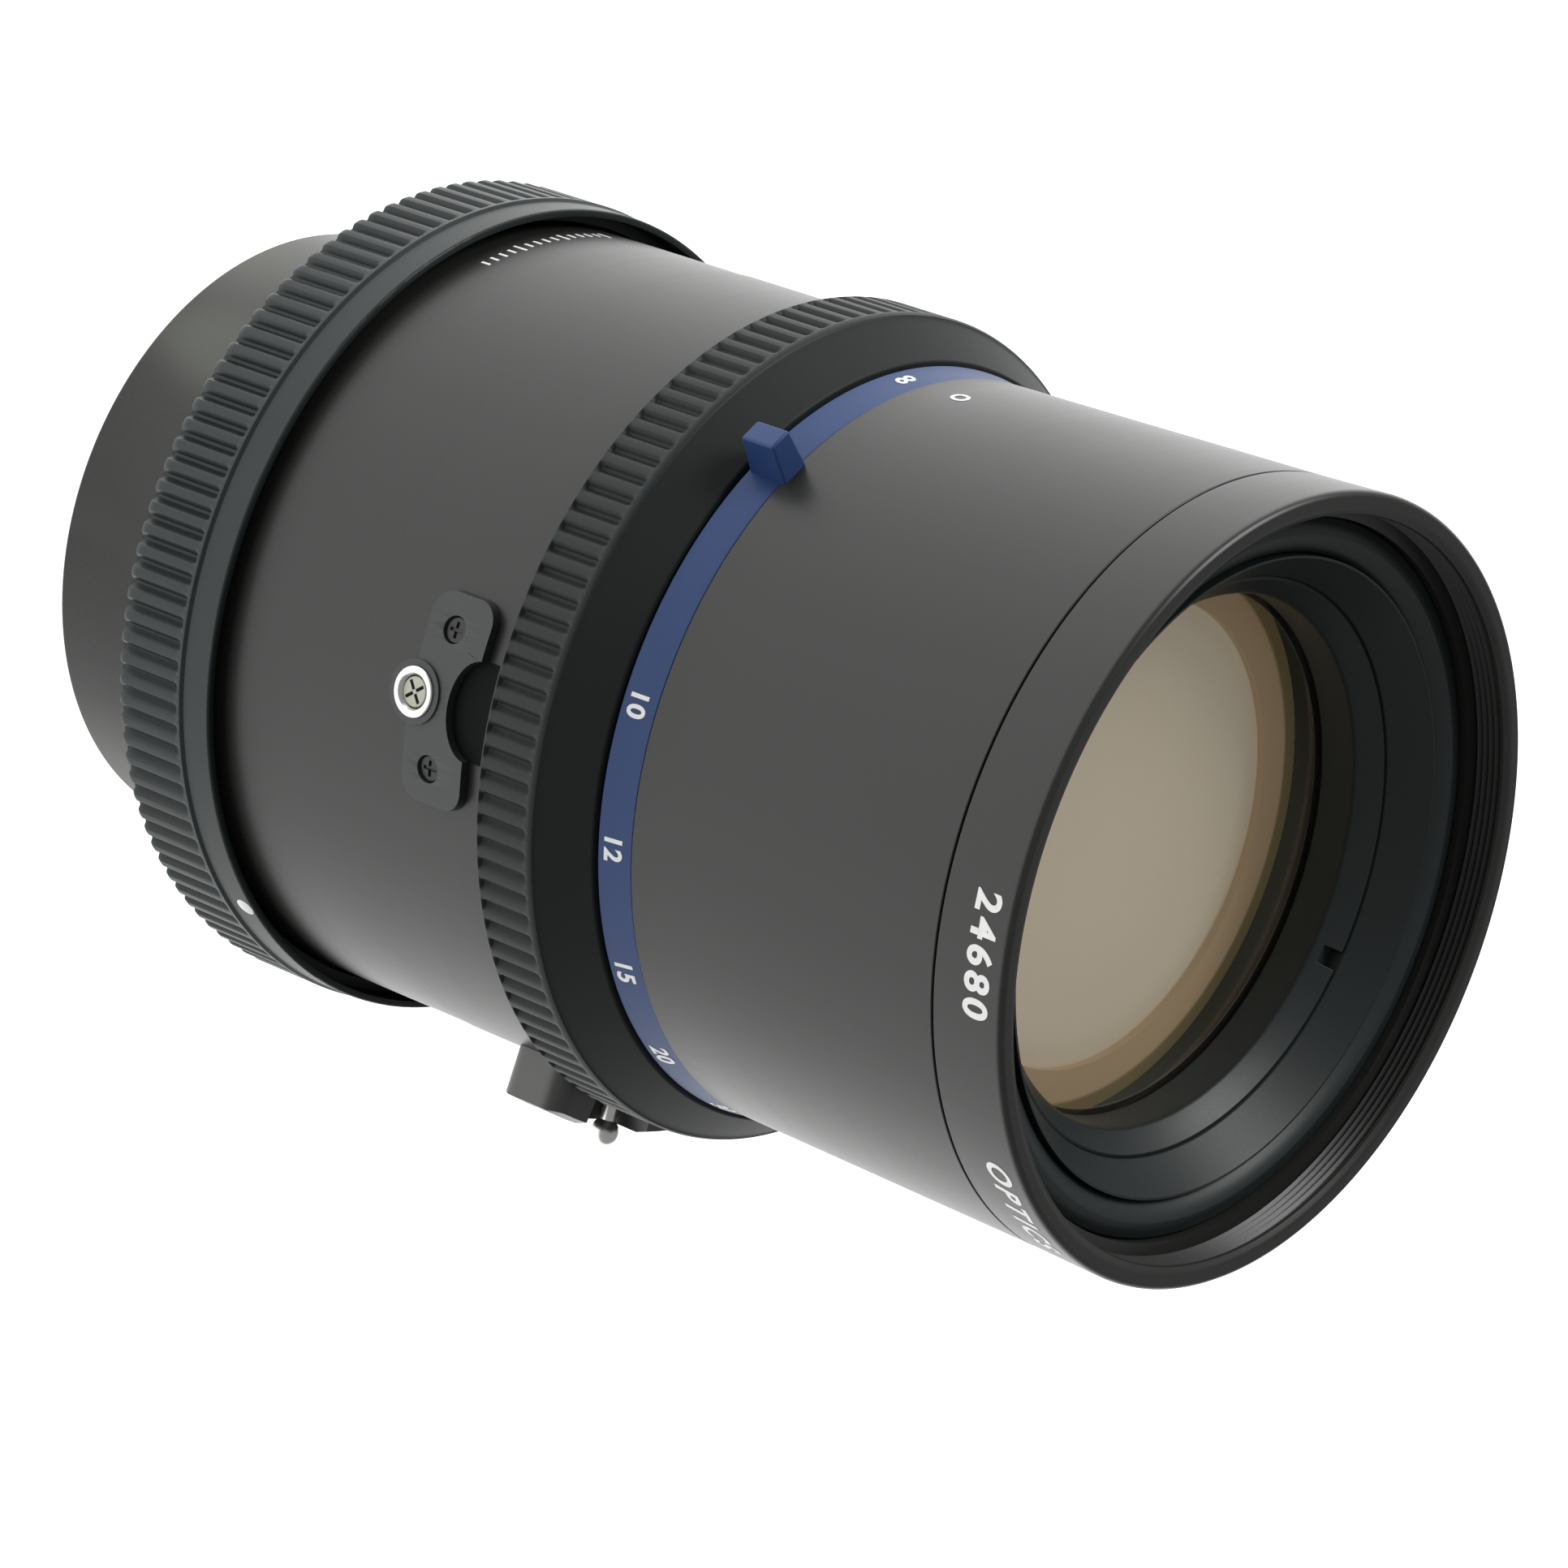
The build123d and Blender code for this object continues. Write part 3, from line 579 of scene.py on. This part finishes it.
def makeTab():
    shell = block(scale["tabWidth"], scale["tabLength"], scale["tabHeight"])
    top = [v for v in shell.verts if v.co.z > 0]
    for v in top:
        v.co.x -= math.copysign(scale["tabTaper"] * mm, v.co.x)
        v.co.y -= math.copysign(scale["tabTaper"] * mm, v.co.y)
    upper = [e for e in shell.edges if any(v in top for v in e.verts)]
    bmesh.ops.bevel(shell, geom=upper, offset=scale["tabRounding"] * mm, segments=3, profile=0.5,
                    affect="EDGES", material=-1)
    place = radialMatrix(scale["tabAzimuth"], scale["tabMiddle"], scale["tabFoot"])
    bmesh.ops.transform(shell, matrix=place, verts=shell.verts)
    newPiece("scaleTab", shell, "blue", "distance")


makeScaleRing()
makeTab()
taper = (scale["front"] - scale["rear"]) / (scale["end"] - scale["start"])
for index, (number, azimuth) in enumerate(scale["numbers"].items()):
    size = scale["numberSize"] * (scale["infinityShare"] if number == "\u221e" else 1)
    lettering(f"scaleNumber{index + 1}", number, size, azimuth, scale["numberMiddle"],
              scale["numberRadius"], "white", "distance", 1.08, taper)

print("front barrel")
front = {"rear": 40.0, "seamRadius": 40.7, "seam": 109.1, "bore": 37.8, "boreStart": 76.0,
         "root": 38.65, "rootEnd": 75.2}


def makeFrontShell():
    z0, z1 = span("front_barrel")[1:]
    bore, root = front["bore"], front["root"]
    outline = [(root, z0), (front["rear"], z0, 0.16), (front["seamRadius"], z1, 0.16), (bore, z1),
               (bore, front["boreStart"]), (root, front["rootEnd"])]
    newPiece("frontShell", turn(outline), "frontSatin", "barrel", ("front_barrel",))


makeFrontShell()

print("filter ring")
rim = {"radius": 41.0, "bore": 38.5, "threads": 5, "threadStart": 0.75, "pitch": 0.72, "threadDepth": 0.4,
       "skirt": 37.7, "skirtBore": 36.6, "skirtStart": 103.0, "seat": 37.35, "seatEnd": 113.8}


def makeFilterRing():
    z1 = span("front_ring")[2]
    z0 = front["seam"] + 0.2
    radius, bore, seat, end = rim["radius"], rim["bore"], rim["seat"], rim["seatEnd"]
    skirt, skirtBore, start = rim["skirt"], rim["skirtBore"], rim["skirtStart"]
    outline = [(skirtBore, start), (skirt, start), (skirt, z0), (front["seamRadius"], z0, 0.15),
               (radius, z1 - 0.15, 0.6), (radius - 0.55, z1, 0.3), (bore + 0.75, z1, 0.3),
               (bore + 0.1, z1 - 0.45)]
    for i in range(rim["threads"]):
        z = z1 - rim["threadStart"] - i * rim["pitch"]
        outline += [(bore, z), (bore + rim["threadDepth"], z - rim["pitch"] / 2)]
    outline += [(bore, end + 0.1), (seat, end), (seat, z0 + 0.2), (skirtBore, z0 + 0.2)]
    newPiece("filterRing", turn(outline, 220), "frontSatin", "barrel", ("front_ring",), 30)


makeFilterRing()


print("front cell")
cell = {"start": 75.0, "tail": 30.2, "rearBore": 25.2, "step": 84.8, "seat": 28.1, "seatEnd": 94.0,
        "mouth": 30.05, "mouthEnd": 109.2, "funnel": 32.9, "lip": 33.15, "lipEnd": 113.0, "ledge": 109.4,
        "flange": 36.5, "flangeStart": 104.0, "body": 32.5, "bodyEnd": 100.0}
trim = {"bore": 33.25, "radius": 37.25, "start": 109.5, "edge": 112.9, "crown": 113.6, "lip": 112.2}


def makeFrontCell():
    start, tail, rearBore, step = (cell[key] for key in ("start", "tail", "rearBore", "step"))
    seat, seatEnd, mouth, lip = (cell[key] for key in ("seat", "seatEnd", "mouth", "lip"))
    ledge, flange = cell["ledge"], cell["flange"]
    outline = [(mouth, seatEnd), (mouth, cell["mouthEnd"], 0.15), (cell["funnel"], cell["lipEnd"]),
               (lip, cell["lipEnd"]), (lip, ledge), (flange, ledge), (flange, cell["flangeStart"]),
               (cell["body"], cell["bodyEnd"]), (tail, start), (rearBore, start), (rearBore, step),
               (seat, step), (seat, seatEnd)]
    newPiece("frontCell", turn(outline), "funnel", "barrel", ("front_cell",))


def makeTrimRing():
    bore, radius, start, crown = trim["bore"], trim["radius"], trim["start"], trim["crown"]
    outline = [(bore, start), (radius, start), (radius, trim["edge"], 0.2), (radius - 0.95, crown, 0.9),
               (bore + 1.55, crown - 0.1, 0.9), (bore, trim["lip"], 0.3)]
    newPiece("trimRing", turn(outline), "funnel", "barrel", ("trim_ring",))


makeFrontCell()
makeTrimRing()
refined("retainingRing", "front_retaining_ring", 0.18, "funnel", "barrel")

print("glasses")
# each glass: radius, edge of the rear face, edge of the front face, and how far the two faces rise
glasses = {"front": (29.95, 97.5, 101.5, 1.2, 3.8), "rear": (24.0, -2.4, 3.0, -1.6, -2.2), "sides": 128}
second = {"radius": 28.0, "rearMiddle": 92.6, "rearEdge": 93.4, "frontEdge": 96.0, "rise": 2.2}
spacer = {"bore": 24.6, "radius": 29.95, "rear": 94.05, "front": 97.4, "waist": 28.1, "foot": 28.5,
          "cone": 96.75, "coneEnd": 96.15, "land": 27.0, "lip": 97.6}


def makeGlass(key, name, finish, node):
    radius, z0, z1, rearRise, frontRise = glasses[key]
    outline = list(reversed(bulge(radius, z0, rearRise))) + bulge(radius, z1, frontRise)
    shell = turn(outline, glasses["sides"], False)
    newPiece(name, shell, finish, "barrel", (node,), 30)


def makeSecondGlass():
    radius = second["radius"]
    outline = [(0, second["rearMiddle"]), (radius, second["rearEdge"])]
    outline += bulge(radius, second["frontEdge"], second["rise"])
    shell = turn(outline, glasses["sides"], False)
    newPiece("secondGlass", shell, "veil", "barrel", ("second_element",), 30)


def makeSpacer():
    bore, radius, rearEnd, frontEnd = (spacer[key] for key in ("bore", "radius", "rear", "front"))
    outline = [(bore, spacer["cone"]), (spacer["waist"], spacer["coneEnd"]), (spacer["foot"], rearEnd),
               (radius, rearEnd), (radius, frontEnd), (spacer["land"], frontEnd), (bore, spacer["lip"])]
    newPiece("spacerRing", turn(outline), "tan", "barrel", ("front_spacer",))


makeGlass("front", "frontGlass", "front", "front_element")
makeSecondGlass()
makeSpacer()
makeGlass("rear", "rearGlass", "rear", "rear_element")
refined("rearRetainer", "rear_retaining_ring", 0.1, "matt", "barrel")

print("fittings")
socket = {"azimuth": -75.2, "height": 41.4, "foot": 40.6, "top": 44.0, "radius": 2.65, "bore": 1.72,
          "grooves": 3, "groovePitch": 0.42, "seat": 42.4, "throat": 1.42,
          "shadeSheetWidth": 10.4, "shadeSheetLength": 6.2, "shadeSheetDepth": 0.12, "shadeSheetMiddle": 48.7}
plunger = {"stem": 1.34, "foot": 41.0, "neck": 42.3, "head": 1.6, "sink": 0.35, "slots": 4,
           "slotWidth": 0.34, "slotLength": 1.05, "slotRadius": 0.78, "slotTurn": 0.4}


def makeSleeve():
    foot, top, radius, bore = (socket[key] for key in ("foot", "top", "radius", "bore"))
    pitch, seat = socket["groovePitch"], socket["seat"]
    outline = [(bore + 0.03, foot), (radius, foot), (radius, top, 0.22), (bore + 0.23, top, 0.15)]
    for i in range(socket["grooves"]):
        z = top - 0.4 - i * pitch
        outline += [(bore, z), (bore + 0.18, z - pitch / 2)]
    outline += [(bore, seat), (socket["throat"], seat)]
    shell = turn(outline, 48)
    place = radialMatrix(socket["azimuth"], socket["height"], 0)
    bmesh.ops.transform(shell, matrix=place, verts=shell.verts)
    newPiece("releaseSleeve", shell, "chrome", "barrel", ("release_socket",))


def makePlunger():
    # the button inside the sleeve; the cross in its head is thin near-black blocks laid on top, painted
    # shade of a cut cross
    top = socket["top"] - plunger["sink"]
    stem, foot, neck, head = (plunger[key] for key in ("stem", "foot", "neck", "head"))
    outline = [(0, foot), (stem, foot), (stem, neck), (head, neck + 0.2), (head, top, 0.15), (0, top)]
    shell = turn(outline, 32, False)
    place = radialMatrix(socket["azimuth"], socket["height"], 0)
    bmesh.ops.transform(shell, matrix=place, verts=shell.verts)
    newPiece("releasePlunger", shell, "plunger", "release", ("release_plunger",))
    # painted shade: the cross is near-black blocks laid on the head, not cut into it
    slots = bmesh.new()
    for i in range(plunger["slots"]):
        slot = block(plunger["slotWidth"], plunger["slotLength"], 0.05)
        shift = (0, plunger["slotRadius"] * mm, (top - 0.02) * mm)
        bmesh.ops.translate(slot, vec=shift, verts=slot.verts)
        spin = Matrix.Rotation((i + plunger["slotTurn"]) * math.pi / 2, 3, "Z")
        bmesh.ops.rotate(slot, cent=(0, 0, 0), matrix=spin, verts=slot.verts)
        joinTo(slots, slot)
    bmesh.ops.transform(slots, matrix=place, verts=slots.verts)
    newPiece("releaseSlotShade", slots, "paintedShade", "release")


def makeSocketShadeSheet():
    # a near-black sheet laid thinly on the barrel between the pad and the grip: painted shade where the
    # hollow there lies in shadow
    shell = block(socket["shadeSheetWidth"], socket["shadeSheetLength"], socket["shadeSheetDepth"], 12)
    wrap(shell.verts, socket["azimuth"], socket["shadeSheetMiddle"], housing["shutterRadius"])
    newPiece("socketShadeSheet", shell, "paintedShade", "barrel")


makeSleeve()
makePlunger()
makeSocketShadeSheet()
refined("socketPad", "socket_plate", 0.1, "pad", "barrel")
refined("socketScrews", "socket_plate_screws", 0.04, "blackSteel", "barrel")
refined("leverPad", "lever_plate", 0.55, "leverPad", "barrel")
refined("leverScrews", "lever_plate_screws", 0.04, "blackSteel", "barrel")
refined("previewPad", "preview_plate", 0.1, "pad", "barrel")
refined("previewPaddle", "preview_lever", 0.12, "grip", "preview_control")
refined("timeLever", "time_lever", 0.05, "chrome", "time_control")
refined("mountFlange", "mount_flange", 0.12, "chrome", "barrel")

print("markings")
marks = {"digits": "24680", "digitSize": 3.25, "digitAzimuth": -68.0, "bandHeight": 114.7,
         "bandRadius": 40.88, "word": "OPTICS", "wordSize": 2.9, "wordAzimuth": -24.0, "wordSlant": 0.2,
         "index": "O", "indexSize": 2.0, "indexAzimuth": -152.7, "indexHeight": 74.4, "indexRadius": 40.09,
         "ticks": 15, "tickStart": -166.0, "tickStep": 1.75, "tickHeight": 16.0, "tickWidth": 0.32,
         "tickLong": 1.9, "tickShort": 1.2, "tickDepth": 0.05,
         "limeAzimuths": (-21.5, -18.2), "limeWidth": 0.9, "limeLength": 1.5, "limeDepth": 0.06,
         "limeHeight": 50.4, "sunk": 0.005, "lensEnd": 118.0}
bandTaper = (rim["radius"] - front["seamRadius"]) / (marks["lensEnd"] - front["seam"])
lettering("frontDigits", marks["digits"], marks["digitSize"], marks["digitAzimuth"], marks["bandHeight"],
          marks["bandRadius"], "white", "barrel", 1.27, bandTaper)
lettering("frontWord", marks["word"], marks["wordSize"], marks["wordAzimuth"], marks["bandHeight"],
          marks["bandRadius"], "white", "barrel", 1.3, bandTaper, marks["wordSlant"])
lettering("indexCircle", marks["index"], marks["indexSize"], marks["indexAzimuth"], marks["indexHeight"],
          marks["indexRadius"], "white", "barrel")


def makeTicks():
    # a short white scale behind the bayonet ring, every fifth line longer
    shell = bmesh.new()
    for i in range(marks["ticks"]):
        length = marks["tickLong"] if i % 5 == 0 else marks["tickShort"]
        line = block(marks["tickWidth"], length, marks["tickDepth"])
        azimuth = marks["tickStart"] + i * marks["tickStep"]
        wrap(line.verts, azimuth, marks["tickHeight"], housing["radius"] - marks["sunk"])
        joinTo(shell, line)
    newPiece("shellTicks", shell, "white", "barrel")


def makeLimeMarks():
    # two index lines beside the time lever
    shell = bmesh.new()
    for azimuth in marks["limeAzimuths"]:
        line = block(marks["limeWidth"], marks["limeLength"], marks["limeDepth"])
        wrap(line.verts, azimuth, marks["limeHeight"], housing["shutterRadius"] - marks["sunk"])
        joinTo(shell, line)
    newPiece("apertureIndex", shell, "lime", "barrel")


makeTicks()
makeLimeMarks()

print("carried-over pieces")
kept = {
    "matt": ("rear_cell", "rear_spacer", "iris_base_plate", "shutter_base_plate", "shutter_cover_plate",
             "contact_block"),
    "chrome": ("flange_screws", "cocking_ring", "mount_pin"),
    "brass": ("contact_pins", "shutter_drive_ring", "iris_drive_ring", "aperture_key", "plate_spacers"),
    "bladeSteel": tuple(f"{kind}_blade_{i}" for kind in ("shutter", "iris") for i in range(1, 6))
    + ("click_ball", "click_spring", "friction_washer"),
    "blackSteel": ("tie_screws",),
    "rear": ("third_element", "rear_middle_element"),
}
for finish, nodes in kept.items():
    for node in nodes:
        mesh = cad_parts[node].data
        mesh.materials.clear()
        mesh.materials.append(finishes[finish].material)

print("stage, lights and camera")
studio = {"world": 0.32, "sidePlace": (-0.7, 0.1, 0.6), "sideTarget": (0, 0, 0.06), "sideSize": 0.5,
          "sidePower": 5, "floorColour": (0.86, 0.86, 0.85), "floorGlow": 1.2, "floorSize": 3,
          "sensor": 36, "lens": 149.07, "cameraPlace": (0.0067, -0.5345, 0.4672),
          "cameraBack": (0, -0.793, 0.609), "cameraRight": (-0.354, 0.569, 0.742)}


def makeFloor():
    shell = bmesh.new()
    bmesh.ops.create_grid(shell, x_segments=2, y_segments=2, size=studio["floorSize"])
    bmesh.ops.translate(shell, vec=(0, 0, cadBox[0].z - 0.02 * mm), verts=shell.verts)
    mesh = bpy.data.meshes.new("floor")
    shell.to_mesh(mesh)
    shell.free()
    floor = bpy.data.objects.new("floor", mesh)
    bpy.context.scene.collection.objects.link(floor)
    colour = studio["floorColour"]
    paper = Finish("floorPaper", colour, 0.9)
    paper.feed("Base Color", paper.mix(paper.noise(4), shade(colour, 0.98), colour))
    paper.feed("Emission Color", (1, 1, 1, 1))
    paper.feed("Emission Strength", studio["floorGlow"])
    mesh.materials.append(paper.material)


def addLight(name, spot, target, size, power):
    lamp = bpy.data.lights.new(name, "AREA")
    lamp.shape = "DISK"
    lamp.size = size
    lamp.energy = power
    light = bpy.data.objects.new(name, lamp)
    bpy.context.scene.collection.objects.link(light)
    light.location = spot
    light.rotation_mode = "QUATERNION"
    light.rotation_quaternion = (Vector(target) - Vector(spot)).to_track_quat("-Z", "Y")


makeFloor()
addLight("sideSoftbox", studio["sidePlace"], studio["sideTarget"], studio["sideSize"], studio["sidePower"])

world = bpy.data.worlds.new("studio")
bpy.context.scene.world = world
world.use_nodes = True
world.node_tree.nodes["Background"].inputs["Color"].default_value = (1, 1, 1, 1)
world.node_tree.nodes["Background"].inputs["Strength"].default_value = studio["world"]
bpy.context.scene.view_settings.view_transform = "Standard"

cameraData = bpy.data.cameras.new("camera")
cameraData.sensor_width = studio["sensor"]
cameraData.lens = studio["lens"]
camera = bpy.data.objects.new("camera", cameraData)
bpy.context.scene.collection.objects.link(camera)
back = Vector(studio["cameraBack"]).normalized()
right = Vector(studio["cameraRight"])
right = (right - back * right.dot(back)).normalized()
up = back.cross(right)
turned = Matrix((right, up, back)).transposed().to_4x4()
camera.matrix_world = Matrix.Translation(studio["cameraPlace"]) @ turned
bpy.context.scene.camera = camera
